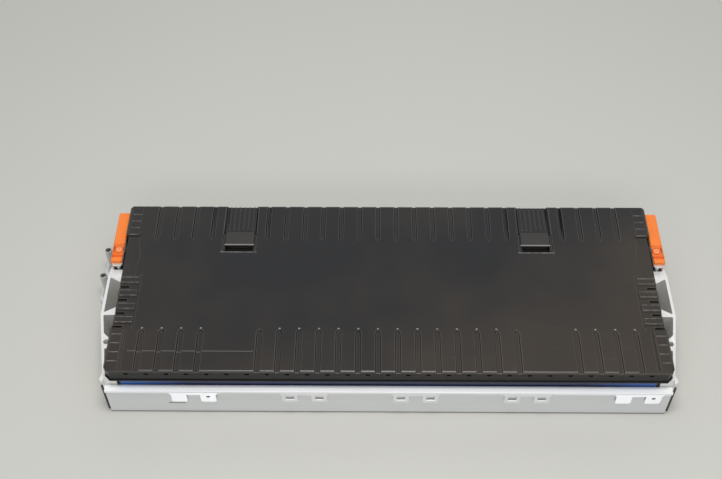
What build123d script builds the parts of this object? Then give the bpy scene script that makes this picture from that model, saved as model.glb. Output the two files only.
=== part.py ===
"""Traction battery module: two rows of prismatic cells under one moulded cover.

Frame: X runs along the module, Y from the tab side to the terminal side, Z up.
The origin is the middle of the underside.  Units are millimetres.
"""
from build123d import *
import os

# ---- driving dimensions -------------------------------------------------
CELLS_PER_ROW = 27
CELL_THICK = 26.7
CELL_WIDTH = 148.0
CELL_HEIGHT = 79.8
SPACER_THICK = 2.0
CENTRE_GAP = 0.6

CHANNEL_SHEET = 1.5
COLD_PLATE = 4.5
PAD_THICK = 1.5

TERMINAL_RISE = 2.4
BUSBAR_THICK = 1.6
CARRIER_THICK = 2.0

COVER_TOP = 104.4
COVER_SKIN = 2.2
SKIRT_BOTTOM = 80.0
COVER_FRONT_Y = -154.0
COVER_BACK_Y = 156.6
COVER_HALF_LENGTH = 403.5
FRONT_BLOCK_X = 405.5
BACK_BLOCK_X = 408.5

SIDE_HALF_LENGTH = 409.8
SIDE_FACE_Y = 158.1
LEDGE_Z = 60.5
FILM_THICK = 0.5

END_INNER_X = 392.0
END_WALL = 4.3
END_NOSE_X = 431.5
END_TOP = 78.0
BOLT_X = 415.3
BOLT_Y = 86.4
BOLT_RADIUS = 4.2

SHANK_SIDES = 12

# ---- worked out from them ----------------------------------------------
PITCH = CELL_THICK + SPACER_THICK
STACK_HALF = (CELLS_PER_ROW * PITCH - SPACER_THICK) / 2
ROW_Y = (CELL_WIDTH + CENTRE_GAP) / 2
ROW_OUTER = CELL_WIDTH + CENTRE_GAP / 2
PLATE_TOP = CHANNEL_SHEET + COLD_PLATE
CELL_BOTTOM = PLATE_TOP + PAD_THICK
CELL_TOP = CELL_BOTTOM + CELL_HEIGHT
TERMINAL_TOP = CELL_TOP + TERMINAL_RISE
BUSBAR_TOP = TERMINAL_TOP + BUSBAR_THICK
SIDE_INNER_Y = ROW_OUTER + FILM_THICK
CELL_X = [(i - (CELLS_PER_ROW - 1) / 2) * PITCH for i in range(CELLS_PER_ROW)]
JOINT_X = [x + PITCH / 2 for x in CELL_X[:-1]]


# ---- small building blocks ---------------------------------------------
def block(x0, x1, y0, y1, z0, z1):
    """Axis-aligned box between two corners."""
    centre = Pos((x0 + x1) / 2, (y0 + y1) / 2, (z0 + z1) / 2)
    return centre * Box(abs(x1 - x0), abs(y1 - y0), abs(z1 - z0))


def prism(points, z0, z1):
    """Upright prism on a closed plan outline."""
    outline = Polyline(*points, close=True)
    return extrude(Pos(0, 0, z0) * make_face(outline), amount=z1 - z0)


def post(x, y, radius, z0, z1):
    """Upright cylinder."""
    return Pos(x, y, (z0 + z1) / 2) * Cylinder(radius, z1 - z0)


def shank(x, y, radius, z0, z1):
    """Shank, boss or hidden hole, as a plain many-sided prism."""
    return extrude(Pos(x, y, z0) * RegularPolygon(radius, SHANK_SIDES), amount=z1 - z0)


def mirrored(points):
    """Close a plan drawn for +X by its mirror image in -X."""
    return points + [(-x, y) for x, y in reversed(points)]


def flipped(points):
    """Mirror a plan in the X axis, keeping its turning sense."""
    return [(x, -y) for x, y in reversed(points)]


def side_by_side(shapes):
    """Group of separate solids kept in one file."""
    return Compound(children=list(shapes))


def left(shape):
    """Mirror image at the -X end."""
    return mirror(shape, about=Plane.YZ)


# ---- cells --------------------------------------------------------------
PAD_LENGTH_X = 16.0
PAD_LENGTH_Y = 14.0
TERMINAL_OFFSET = 52.0


def cell(x, y):
    """One aluminium can and the two terminals that stand on its lid."""
    half_x = CELL_THICK / 2
    half_y = CELL_WIDTH / 2
    solids = [block(x - half_x, x + half_x, y - half_y, y + half_y, CELL_BOTTOM, CELL_TOP)]
    for offset in (-TERMINAL_OFFSET, TERMINAL_OFFSET):
        solids.append(block(x - PAD_LENGTH_X / 2, x + PAD_LENGTH_X / 2,
                            y + offset - PAD_LENGTH_Y / 2, y + offset + PAD_LENGTH_Y / 2,
                            CELL_TOP, TERMINAL_TOP))
    return solids


def cell_row(y):
    """A row of separate cells."""
    solids = []
    for x in CELL_X:
        solids += cell(x, y)
    return side_by_side(solids)


def spacer_row(y):
    """Compressible pads between the cells of a row."""
    half = SPACER_THICK / 2
    reach = CELL_WIDTH / 2 - 1
    pads = []
    for x in JOINT_X:
        pads.append(block(x - half, x + half, y - reach, y + reach, CELL_BOTTOM, CELL_TOP - 1))
    return side_by_side(pads)


def centre_insulator():
    """Sheet between the two rows."""
    return block(-STACK_HALF, STACK_HALF, -CENTRE_GAP / 2, CENTRE_GAP / 2, CELL_BOTTOM, CELL_TOP)


def side_film(side):
    """Blue insulating film on the outer face of a row."""
    return block(-STACK_HALF, STACK_HALF, side * ROW_OUTER, side * SIDE_INNER_Y,
                 PLATE_TOP, CELL_TOP - 1)


def end_insulator():
    """Ribbed plastic plate between the last cells and the end plate."""
    web = block(STACK_HALF, STACK_HALF + 2.5, -ROW_OUTER, ROW_OUTER, PLATE_TOP, CELL_TOP)
    ribs = []
    for y in range(-140, 141, 35):
        ribs.append(block(STACK_HALF + 2.5, END_INNER_X, y - 2, y + 2, PLATE_TOP, CELL_TOP - 2))
    return web + ribs


# ---- conductors and sensing ---------------------------------------------
BAR_HALF_LENGTH = 21.0
BAR_HALF_WIDTH = 8.0


def busbar(x, y):
    """Flat bar welded over the terminals of two cells."""
    return block(x - BAR_HALF_LENGTH, x + BAR_HALF_LENGTH, y - BAR_HALF_WIDTH,
                 y + BAR_HALF_WIDTH, TERMINAL_TOP, BUSBAR_TOP)


def terminal_lines(side):
    """Outer and inner terminal lines of the row on this side."""
    outer = side * (ROW_Y + TERMINAL_OFFSET)
    inner = side * (ROW_Y - TERMINAL_OFFSET)
    return outer, inner


def busbar_row(side):
    """Series bars: outer line joins odd pairs, inner line joins even pairs."""
    outer, inner = terminal_lines(side)
    bars = [busbar(x, inner) for x in JOINT_X[0::2]]
    bars += [busbar(x, outer) for x in JOINT_X[1::2]]
    return side_by_side(bars)


CARRIER_REACH = 71.0
TROUGH_REACH = 9.5


def busbar_carrier(side):
    """Plastic tray on the cell lids with a long trough for each line of bars."""
    tray = block(-STACK_HALF, STACK_HALF, side * ROW_Y - CARRIER_REACH,
                 side * ROW_Y + CARRIER_REACH, CELL_TOP, CELL_TOP + CARRIER_THICK)
    reach = CELL_X[-1] + TROUGH_REACH
    troughs = []
    for y in terminal_lines(side):
        troughs.append(block(-reach, reach, y - BAR_HALF_WIDTH - 1, y + BAR_HALF_WIDTH + 1,
                             CELL_TOP, TERMINAL_TOP))
    return tray - troughs


FLEX_TOP = CELL_TOP + CARRIER_THICK + 0.8
FLEX_HALF = 14.0


def sensing_flex(side):
    """Flat voltage-sensing circuit along the middle of the tray."""
    low = CELL_TOP + CARRIER_THICK
    spine = block(-STACK_HALF + 6, STACK_HALF - 6, side * ROW_Y - FLEX_HALF,
                  side * ROW_Y + FLEX_HALF, low, FLEX_TOP)
    outer, inner = terminal_lines(side)
    reach = TERMINAL_OFFSET - BAR_HALF_WIDTH
    tails = []
    for start, direction in ((0, -side), (1, side)):
        for x in JOINT_X[start::2]:
            near = side * ROW_Y + direction * FLEX_HALF
            far = side * ROW_Y + direction * (reach - 2.0)
            tails.append(block(x - 2.5, x + 2.5, near, far, low, FLEX_TOP))
    return spine + tails


def temperature_sensors():
    """Thermistor pellets on the flex, two for each row."""
    pellets = []
    for side in (-1, 1):
        for x in (-10 * PITCH, 10 * PITCH):
            pellets.append(block(x - 4, x + 4, side * ROW_Y - 3, side * ROW_Y + 3,
                                 FLEX_TOP, FLEX_TOP + 2.5))
    return side_by_side(pellets)


COLLECTOR_THICK = 2.0
COLLECTOR_IN = STACK_HALF - 2.0
COLLECTOR_OUT = 399.0
TONGUE_Y0 = 112.0
TONGUE_Y1 = 136.0


def collector_bar(line_y):
    """Cross bar that joins both rows and runs out to the power terminal."""
    low = TERMINAL_TOP
    top = low + COLLECTOR_THICK
    reach = max(line_y + BAR_HALF_WIDTH, TONGUE_Y1)
    bar = block(COLLECTOR_IN, COLLECTOR_OUT, -line_y - BAR_HALF_WIDTH, reach, low, top)
    for y in (-line_y, line_y):
        bar += block(CELL_X[-1] - 7, COLLECTOR_IN, y - BAR_HALF_WIDTH, y + BAR_HALF_WIDTH, low, top)
    bar += block(COLLECTOR_OUT, TERMINAL_BAR_OUT - 2, TONGUE_Y0, TONGUE_Y1, low, top)
    return bar


# ---- cooling ------------------------------------------------------------
EAR_Y0 = 34.0
EAR_Y1 = 126.0
EAR_X = 459.0
EAR_CORNER = 8.0
SPIGOT_X = 446.5
SPIGOT_Y = (54.5, 105.5)
SPIGOT_RADIUS = 5.5
SPIGOT_BORE = 4.0
SPIGOT_TOP = 55.0
SPIGOT_FOOT = 2.5
SPIGOT_FOOT_RADIUS = 10.0
CHANNEL_DEPTH = 3.0
LANE_WIDTH = 13.0
LANE_PITCH = 20.0


def plate_plan(z0, z1):
    """Cold plate outline with the ear that carries the spigots."""
    body = block(-END_INNER_X, END_INNER_X, -SIDE_INNER_Y, SIDE_INNER_Y, z0, z1)
    ear = block(-EAR_X, -END_INNER_X, EAR_Y0, EAR_Y1, z0, z1)
    outer_edges = ear.edges().filter_by(Axis.Z).group_by(Axis.X)[0]
    bolt_way = shank(-BOLT_X, BOLT_Y, BOLT_RADIUS + 1.4, z0, z1)
    return body + chamfer(outer_edges, EAR_CORNER) - bolt_way


def cooling_plate():
    """Plate with a U-shaped set of channels milled in its underside."""
    plate = plate_plan(CHANNEL_SHEET, PLATE_TOP)
    z0 = CHANNEL_SHEET
    z1 = CHANNEL_SHEET + CHANNEL_DEPTH
    header_in = 368.0
    header_out = 384.0
    cuts = [block(header_in, header_out, -144, 144, z0, z1),
            block(-header_out, -header_in, 66, 144, z0, z1),
            block(-header_out, -header_in, -144, SPIGOT_Y[0] + 5, z0, z1),
            block(-SPIGOT_X - 6, -header_in, SPIGOT_Y[0] - 5, SPIGOT_Y[0] + 5, z0, z1),
            block(-SPIGOT_X - 6, -header_in, SPIGOT_Y[1] - 5, SPIGOT_Y[1] + 5, z0, z1)]
    for lane in range(4):
        y = 76 + lane * LANE_PITCH
        for direction in (-1, 1):
            cuts.append(block(-header_in, header_in, direction * y - LANE_WIDTH / 2,
                              direction * y + LANE_WIDTH / 2, z0, z1))
    for y in SPIGOT_Y:
        cuts.append(shank(-SPIGOT_X, y, SPIGOT_BORE - 0.5, z0, PLATE_TOP))
    return plate - cuts


def spigot(y):
    """Brazed hose tube on a foot flange."""
    tube = post(-SPIGOT_X, y, SPIGOT_RADIUS, PLATE_TOP, SPIGOT_TOP)
    tube += shank(-SPIGOT_X, y, SPIGOT_FOOT_RADIUS, PLATE_TOP, PLATE_TOP + SPIGOT_FOOT)
    return tube - post(-SPIGOT_X, y, SPIGOT_BORE, PLATE_TOP, SPIGOT_TOP)


# ---- side plates --------------------------------------------------------
SIDE_OUTER_WALL = 2.4
SIDE_INNER_WALL = 1.6
SIDE_FLANGE = 2.2
SIDE_RIB = 1.6
SIDE_CHAMBERS = 3


def side_plate(side):
    """Hollow extruded beam with three chambers."""
    beam = block(-SIDE_HALF_LENGTH, SIDE_HALF_LENGTH, side * SIDE_INNER_Y, side * SIDE_FACE_Y,
                 0, LEDGE_Z)
    clear = LEDGE_Z - 2 * SIDE_FLANGE - (SIDE_CHAMBERS - 1) * SIDE_RIB
    height = clear / SIDE_CHAMBERS
    chambers = []
    for i in range(SIDE_CHAMBERS):
        z0 = SIDE_FLANGE + i * (height + SIDE_RIB)
        chambers.append(block(-SIDE_HALF_LENGTH, SIDE_HALF_LENGTH,
                              side * (SIDE_INNER_Y + SIDE_INNER_WALL),
                              side * (SIDE_FACE_Y - SIDE_OUTER_WALL), z0, z0 + height))
    return beam - chambers


RAIL_THICK = 1.2
RAIL_IN = 150.0
RAIL_DROP = 4.0
RAIL_WEB = 5.0
TAB_STAND_OFF = 1.6
TAB_PAIRS = 5
TAB_WIDTH = 23.0
TAB_BOTTOM = 33.0
TAB_CORNER = 2.5
TAB_ROOT = 6.0
TAB_PAIR_PITCH = 161.3
TAB_FIRST = -282.0
TAB_OFFSET = 21.3
TAB_HOLE_Z = 47.0
TAB_HOLE_RADIUS = 2.8
WINDOW_HALF_X = 6.0
WINDOW_LOW = 41.0
WINDOW_HIGH = 51.0
WINDOW_LIP = 2.4


def tab(middle, direction, back):
    """One tab: square inner side, flared outer root, clipped lower corners."""
    front = back - RAIL_THICK
    fold = LEDGE_Z - RAIL_DROP
    near = middle + direction * (TAB_OFFSET - TAB_WIDTH / 2)
    far = near + direction * TAB_WIDTH
    nick = direction * TAB_CORNER
    points = [(near, fold), (near, TAB_BOTTOM + TAB_CORNER), (near + nick, TAB_BOTTOM),
              (far - nick, TAB_BOTTOM), (far, TAB_BOTTOM + TAB_CORNER), (far, fold - TAB_ROOT),
              (far + direction * TAB_ROOT / 2, fold)]
    outline = Polyline(*[(x, front, z) for x, z in points], close=True)
    return extrude(make_face(outline), amount=RAIL_THICK, dir=(0, 1, 0))


def tab_rail():
    """Folded strip on the ledge whose tabs hang in pairs before the face."""
    back = -(SIDE_FACE_Y + TAB_STAND_OFF)
    front = back - RAIL_THICK
    fold = LEDGE_Z - RAIL_DROP
    rail = block(-SIDE_HALF_LENGTH, SIDE_HALF_LENGTH, front, -RAIL_IN,
                 LEDGE_Z, LEDGE_Z + RAIL_THICK)
    rail += block(-SIDE_HALF_LENGTH, SIDE_HALF_LENGTH, front, back, fold, LEDGE_Z)
    webs = []
    cuts = []
    for pair in range(TAB_PAIRS):
        middle = TAB_FIRST + pair * TAB_PAIR_PITCH
        inner = TAB_OFFSET - TAB_WIDTH / 2
        webs.append(block(middle - inner, middle + inner, front, back, fold - RAIL_WEB, fold))
        for direction in (-1, 1):
            x = middle + direction * TAB_OFFSET
            webs.append(tab(middle, direction, back))
            if 0 < pair < TAB_PAIRS - 1:
                cuts.append(block(x - WINDOW_HALF_X, x + WINDOW_HALF_X, front - 1, back + 1,
                                  WINDOW_LOW, WINDOW_HIGH))
                webs.append(block(x - WINDOW_HALF_X, x + WINDOW_HALF_X, front - 1, front,
                                  WINDOW_LOW - WINDOW_LIP, WINDOW_LOW))
        if pair in (0, TAB_PAIRS - 1):
            hole = Pos(middle + TAB_OFFSET, (front + back) / 2, TAB_HOLE_Z) * Rot(90, 0, 0)
            cuts.append(hole * Cylinder(TAB_HOLE_RADIUS, RAIL_THICK * 3))
    return rail + webs - cuts


# ---- end plates ---------------------------------------------------------
CORNER_Y = 156.5
CORNER_CUT = 2.5
NOSE_Y = 37.0
SHOULDER_X = 413.0
SHOULDER_Y = 140.0
INNER_WALL = 4.0
WEB_NEAR_Y = 71.0
WEB_NODE = (412.0, 79.5)
WEB_FOOT_Y = 95.0
POCKET_CHAMFER = 1.2
PORT_BOSS = 7.6
NOTCH_HEIGHT = PLATE_TOP + 0.4


def outer_wall_inside(y):
    """Inside of the outer wall where it tapers from the nose to the shoulder."""
    slope = (END_NOSE_X - SHOULDER_X) / (SHOULDER_Y - NOSE_Y)
    return END_NOSE_X - END_WALL - slope * (y - NOSE_Y)


def end_pockets():
    """Plan outlines of the open chambers between the webs, for the +Y half."""
    wall = END_INNER_X + INNER_WALL
    wedge = [(wall, 21), (wall, 35), (wall + 12, 33.5), (wall + 12, 27)]
    corner = [(wall, 103), (409.5, 97.5), (outer_wall_inside(98), 98),
              (outer_wall_inside(136), 138), (wall, 138)]
    bays = []
    for start in (38, 48):
        bays.append([(wall, start), (outer_wall_inside(start), start),
                     (outer_wall_inside(WEB_NEAR_Y), WEB_NEAR_Y), WEB_NODE, (wall, WEB_FOOT_Y)])
    return wedge, corner, bays[0], bays[1]


def end_plate(with_notch):
    """Extruded truss profile stood on end: walls, diagonal webs and ports."""
    half = [(END_INNER_X, SIDE_INNER_Y), (SIDE_HALF_LENGTH, SIDE_INNER_Y),
            (SIDE_HALF_LENGTH, CORNER_Y),
            (SHOULDER_X + CORNER_CUT, CORNER_Y - 2 * CORNER_CUT),
            (SHOULDER_X, SHOULDER_Y), (END_NOSE_X, NOSE_Y)]
    plate = prism(half + flipped(half), 0, END_TOP)
    wall = END_INNER_X + INNER_WALL
    nose = END_NOSE_X - END_WALL
    middle = [(wall, -15), (nose, -33), (nose, 33), (wall, 15)]
    wedge, corner, front_bay, back_bay = end_pockets()
    plans = [middle, wedge, corner, back_bay]
    plans += [flipped(wedge), flipped(corner), flipped(front_bay)]
    pockets = []
    for plan in plans:
        pocket = prism(plan, 0, END_TOP)
        pockets.append(chamfer(pocket.edges().filter_by(Axis.Z), POCKET_CHAMFER))
    plate = plate - pockets
    for y in (-BOLT_Y, BOLT_Y):
        plate += post(BOLT_X, y, PORT_BOSS, 0, END_TOP)
    plate = plate - [post(BOLT_X, y, BOLT_RADIUS, 0, END_TOP) for y in (-BOLT_Y, BOLT_Y)]
    plate = plate - [shank(END_SCREW_X, y, SCREW_RADIUS, 0, SCREW_LENGTH) for y in SCREW_Y]
    if with_notch:
        plate = plate - block(END_INNER_X, END_NOSE_X, EAR_Y0 - 1, EAR_Y1 + 1, 0, NOTCH_HEIGHT)
    return plate


END_SCREW_X = 402.0
SCREW_Y = (-143.4, 143.4)
SCREW_RADIUS = 2.5
SCREW_LENGTH = 16.0


def corner_screws():
    """Countersunk screws from below, one in each foot of the end plates."""
    screws = []
    for direction in (-1, 1):
        for y in SCREW_Y:
            screws.append(shank(direction * END_SCREW_X, y, SCREW_RADIUS, 0.6, SCREW_LENGTH))
    return side_by_side(screws)


# ---- power terminals ----------------------------------------------------
TERMINAL_BAR_IN = 410.0
TERMINAL_BAR_OUT = 426.0
TERMINAL_BAR_LOW = TERMINAL_TOP - 3.0
TERMINAL_BAR_TIP = 47.5
TERMINAL_BAR_END = 144.0
TERMINAL_SCREW_X = 417.6
TERMINAL_SCREW_Y = 75.0
TERMINAL_BORE = 3.3
HV_IN = 410.0
HV_OUT = 427.6
HV_FRONT = 51.5
HV_BACK = 149.5
HV_TOP = 95.0
HV_SKIN = 1.6
BAND_Y0 = 59.5
BAND_Y1 = 64.5
SEAT_Y1 = 85.5
SEAT_DEPTH = 1.2
PORT_RADIUS = 5.3


def terminal_bar():
    """Plated bar from the welded tongue to the bolted tip."""
    bar = block(TERMINAL_BAR_IN, TERMINAL_BAR_OUT, TERMINAL_BAR_TIP, TERMINAL_BAR_END,
                TERMINAL_BAR_LOW, TERMINAL_TOP)
    tip = bar.edges().filter_by(Axis.Z).group_by(Axis.Y)[0]
    bar = chamfer(tip, 2.0)
    return bar - shank(TERMINAL_SCREW_X, TERMINAL_SCREW_Y, TERMINAL_BORE,
                       TERMINAL_BAR_LOW, TERMINAL_TOP)


THREAD_RADIUS = 3.0
NUT_RADIUS = 5.6
NUT_HEIGHT = 5.0
POST_X = 417.0
POST_Y = 52.5
POST_RADIUS = 3.5
FOOT_TOP = 68.0


def terminal_block():
    """Insulator that carries the bar on the end plate and the nut in it."""
    body = block(TERMINAL_BAR_IN, TERMINAL_BAR_OUT, 58, TERMINAL_BAR_END, END_TOP, TERMINAL_BAR_LOW)
    foot = block(TERMINAL_BAR_IN - 8, TERMINAL_BAR_OUT - 5, 49, 66, 60, FOOT_TOP)
    leg = block(TERMINAL_BAR_IN - 8, TERMINAL_BAR_OUT - 5, 58, 66, FOOT_TOP, END_TOP)
    bridge = block(TERMINAL_BAR_IN, TERMINAL_BAR_OUT - 5, 58, 66, END_TOP - 1, END_TOP + 1)
    nut_seat = extrude(Pos(TERMINAL_SCREW_X, TERMINAL_SCREW_Y, TERMINAL_BAR_LOW - NUT_HEIGHT)
                       * RegularPolygon(NUT_RADIUS, 6), amount=NUT_HEIGHT)
    return body + foot + leg + bridge - nut_seat - block(
        TERMINAL_BAR_IN - 9, TERMINAL_BAR_IN, 57, 67, END_TOP, END_TOP + 4)


def terminal_nuts():
    """Captive hexagon nuts under the bars."""
    nut = extrude(Pos(TERMINAL_SCREW_X, TERMINAL_SCREW_Y, TERMINAL_BAR_LOW - NUT_HEIGHT)
                  * RegularPolygon(NUT_RADIUS, 6), amount=NUT_HEIGHT)
    nut = nut - shank(TERMINAL_SCREW_X, TERMINAL_SCREW_Y, THREAD_RADIUS,
                      TERMINAL_BAR_LOW - NUT_HEIGHT, TERMINAL_BAR_LOW)
    return side_by_side([nut, left(nut)])


def terminal_screws():
    """Cap screws that clamp the bars."""
    screw = shank(TERMINAL_SCREW_X, TERMINAL_SCREW_Y, THREAD_RADIUS,
                  TERMINAL_BAR_LOW - NUT_HEIGHT, TERMINAL_TOP)
    screw += post(TERMINAL_SCREW_X, TERMINAL_SCREW_Y, 5.0, TERMINAL_TOP, TERMINAL_TOP + 4.0)
    screw = screw - extrude(Pos(TERMINAL_SCREW_X, TERMINAL_SCREW_Y, TERMINAL_TOP + 1.5)
                            * RegularPolygon(2.9, 6), amount=2.5)
    return side_by_side([screw, left(screw)])


def terminal_posts():
    """Plain steel posts that prop the tips of the bars."""
    prop = post(POST_X, POST_Y, POST_RADIUS, FOOT_TOP, TERMINAL_BAR_LOW)
    return side_by_side([prop, left(prop)])


def hv_cover():
    """Orange touch cover: thin shell, sunken screw seat with a port, cross band."""
    low = END_TOP + 1.0
    under_skin = HV_TOP - HV_SKIN
    seat = HV_TOP - SEAT_DEPTH
    shell = block(HV_IN, HV_OUT, HV_FRONT, HV_BACK, low, HV_TOP)
    shell = chamfer(shell.edges().filter_by(Axis.Z), 1.5)
    shell = chamfer(shell.edges().group_by(Axis.Z)[-1], 1.0)
    shell -= block(HV_IN - 3, HV_OUT - HV_SKIN, HV_FRONT + HV_SKIN, HV_BACK - HV_SKIN,
                   low - 1, under_skin)
    shell -= block(HV_IN - 1, HV_OUT + 1, HV_FRONT - 1, HV_FRONT + HV_SKIN, low - 1, TERMINAL_TOP)
    shell += block(HV_IN + 0.8, HV_OUT - 1, BAND_Y0 - 1.2, SEAT_Y1 + 1.2,
                   seat - 2 * HV_SKIN, under_skin)
    shell -= block(HV_IN - 1, HV_OUT - 2, BAND_Y1, SEAT_Y1, seat, HV_TOP + 1)
    shell -= block(HV_IN + 2, HV_OUT - 2, BAND_Y0, BAND_Y1, seat - HV_SKIN, HV_TOP + 1)
    shell += post(TERMINAL_SCREW_X, TERMINAL_SCREW_Y, PORT_RADIUS + HV_SKIN, seat - 1, HV_TOP)
    return shell - post(TERMINAL_SCREW_X, TERMINAL_SCREW_Y, PORT_RADIUS, seat - 4, HV_TOP + 1)


# ---- moulded cover ------------------------------------------------------
GROOVE_WIDTH = 8.6
GROOVE_DEPTH = 3.0
GROOVE_DRAFT = 24
FRONT_GROOVE_Y = -80.2
BACK_GROOVE_Y = 86.0
BACK_GROOVE_WIDTH = 7.0
MISSING = (4, 5, 20, 21)
BAY_CENTRE = 8 * PITCH
BAY_HALF = 25.9
BAY_FRONT = 64.0
BAY_FLOOR = 100.4
BAY_RIBS = 6
BAY_RIB_PITCH = 7.4
CHUTE_FRONT = 96.0
CHUTE_DRAFT = 40
WINDOW_HALF = 21.5
WINDOW_BACK = 105.0
LIP_HEIGHT = 2.5
LIP_OUT = 1.3
RIM_CHAMFER = 1.6
COMB_IN = 375.0
COMB_PITCH = 24.2
COMB_FIRST = 8.6
COMB_BARS = 4
COMB_HALF_BAR = 5.2
COMB_DEPTH = 2.4
SLOT_IN = 389.0
SLOT_MIDDLE = 11.7
SLOT_HALF = 1.5
SLOT_DEPTH = 8.0
STEP_DEPTH = 2.0
LAND_DEPTH = 1.2
FRONT_LANDS = 5
FRONT_LAND = 13.4
FRONT_LAND_PITCH = 15.4
BACK_LANDS = 4
BACK_LAND = 10.6
BACK_LAND_PITCH = 13.4
COVER_RUN_OUT = 412.0
CLIP_HALF = 3.0
CLIP_LOW = 95.0
CLIP_HIGH = 98.6


def cover_plan(grow):
    """Plan outline with the stepped ends; grow moves it outwards."""
    edge_front = COVER_FRONT_Y - grow
    edge_back = COVER_BACK_Y + grow
    front = FRONT_BLOCK_X + grow
    middle = COVER_HALF_LENGTH + grow
    back = BACK_BLOCK_X + grow
    half = [(front - 8, edge_front), (front, edge_front + 8), (front, -75), (middle, -73),
            (middle, 96), (back, 99), (back, edge_back - 4), (back - 4, edge_back)]
    return mirrored(half)


def groove(x, tip, edge, width):
    """Flute with drafted walls, from its pointed tip out past the edge."""
    outward = -1 if edge < tip else 1
    half = width / 2
    shoulder = tip + outward * half * 1.4
    run_out = edge + outward * 6
    points = [(x - half, run_out), (x - half, shoulder), (x, tip), (x + half, shoulder),
              (x + half, run_out)]
    outline = Pos(0, 0, COVER_TOP) * make_face(Polyline(*points, close=True))
    return extrude(outline, amount=GROOVE_DEPTH, dir=(0, 0, -1), taper=GROOVE_DRAFT)


def fluted_groups():
    """First and last flute of each unbroken group."""
    present = [i for i in range(len(JOINT_X)) if i not in MISSING]
    starts = [i for i in present if i - 1 not in present]
    ends = [i for i in present if i + 1 not in present]
    return [(JOINT_X[a], JOINT_X[b]) for a, b in zip(starts, ends)]


def groove_jackets():
    """Thicker skin under each group of flutes, so that their floors keep a wall."""
    jackets = []
    low = COVER_TOP - GROOVE_DEPTH - COVER_SKIN
    for first, last in fluted_groups():
        x0 = first - GROOVE_WIDTH / 2 - COVER_SKIN
        x1 = last + GROOVE_WIDTH / 2 + COVER_SKIN
        jackets.append(block(x0, x1, COVER_FRONT_Y + 1, FRONT_GROOVE_Y + COVER_SKIN,
                             low, COVER_TOP - 1))
        jackets.append(block(x0, x1, BACK_GROOVE_Y - COVER_SKIN, COVER_BACK_Y - 1,
                             low, COVER_TOP - 1))
    return jackets


def comb_cuts():
    """Recessed lands between the bars of the right-hand comb, and deep slots."""
    shallow = COVER_TOP - COMB_DEPTH
    deep = COVER_TOP - SLOT_DEPTH
    cuts = [block(COMB_IN - 3, COMB_IN, -76, 17, shallow, COVER_TOP + 1)]
    slots = []
    for i in range(COMB_BARS):
        y = COMB_FIRST - i * COMB_PITCH
        cuts.append(block(COMB_IN, COVER_RUN_OUT, y - COMB_PITCH + COMB_HALF_BAR,
                          y - COMB_HALF_BAR, shallow, COVER_TOP + 1))
        slots.append(block(SLOT_IN, COVER_RUN_OUT, y - SLOT_MIDDLE - SLOT_HALF,
                           y - SLOT_MIDDLE + SLOT_HALF, deep, COVER_TOP + 1))
    return cuts, slots


def wavy_step():
    """Shallow step along the smooth middle stretch of the right end."""
    wave = [(382, 17), (383.6, 27), (382.6, 40), (380.5, 52), (382, 63), (384.5, 74),
            (385.2, 86), (385.5, 95.5)]
    return prism(wave + [(COVER_RUN_OUT, 95.5), (COVER_RUN_OUT, 17)],
                 COVER_TOP - STEP_DEPTH, COVER_TOP + 1)


def corner_cuts():
    """Inner groove and sunken tops of the right-hand corner blocks."""
    cuts = [block(381, 385, -150, -77, COVER_TOP - COMB_DEPTH, COVER_TOP + 1)]
    low = COVER_TOP - LAND_DEPTH
    high = COVER_TOP + 1
    for i in range(FRONT_LANDS):
        y = -89.4 - i * FRONT_LAND_PITCH
        cuts.append(block(387.5, 402, y, y + FRONT_LAND, low, high))
    for i in range(BACK_LANDS):
        y = 99.9 + i * BACK_LAND_PITCH
        cuts.append(block(388, 404, y, y + BACK_LAND, low, high))
    return cuts


def bay_cuts(x):
    """Connector bay: flap seat, drafted chute to the back edge, window to the tray."""
    seat = block(x - BAY_HALF, x + BAY_HALF, BAY_FRONT, CHUTE_FRONT + 4, BAY_FLOOR, COVER_TOP + 1)
    corners = [(x - BAY_HALF, CHUTE_FRONT), (x + BAY_HALF, CHUTE_FRONT),
               (x + BAY_HALF, COVER_BACK_Y + 6), (x - BAY_HALF, COVER_BACK_Y + 6)]
    outline = Pos(0, 0, COVER_TOP) * make_face(Polyline(*corners, close=True))
    chute = extrude(outline, amount=COVER_TOP - BAY_FLOOR, dir=(0, 0, -1), taper=CHUTE_DRAFT)
    window = block(x - WINDOW_HALF, x + WINDOW_HALF, BAY_FRONT, WINDOW_BACK, 80, COVER_TOP)
    return [seat, chute, window]


def bay_ribs(x):
    """Fine ribs along the shelf of a bay."""
    ribs = []
    for i in range(BAY_RIBS):
        rib_x = x + (i - (BAY_RIBS - 1) / 2) * BAY_RIB_PITCH
        ribs.append(block(rib_x - 0.8, rib_x + 0.8, 110, COVER_BACK_Y, BAY_FLOOR - 0.5,
                          BAY_FLOOR + 1.2))
    return ribs


def end_jackets(direction):
    """Blocks under the sunken forms of one end, which keep the skin's thickness."""
    def strip(x_in, y0, y1, depth):
        low, high = sorted((direction * x_in, direction * (COVER_HALF_LENGTH - 1)))
        return block(low, high, y0, y1, COVER_TOP - depth - COVER_SKIN, COVER_TOP - 1)

    return [strip(370, COVER_FRONT_Y + 2, 100, COMB_DEPTH), strip(387, -80, 0, SLOT_DEPTH)]


def clip_windows():
    """Small openings in the skirt where the clips latch: one at each front cell,
    and a few along the back."""
    windows = []
    for y0, y1, places in ((COVER_FRONT_Y - 1, COVER_FRONT_Y + 4, CELL_X),
                           (COVER_BACK_Y - 4, COVER_BACK_Y + 1, CELL_X[1::6])):
        for x in places:
            windows.append(block(x - CLIP_HALF, x + CLIP_HALF, y0, y1, CLIP_LOW, CLIP_HIGH))
    return windows


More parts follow.
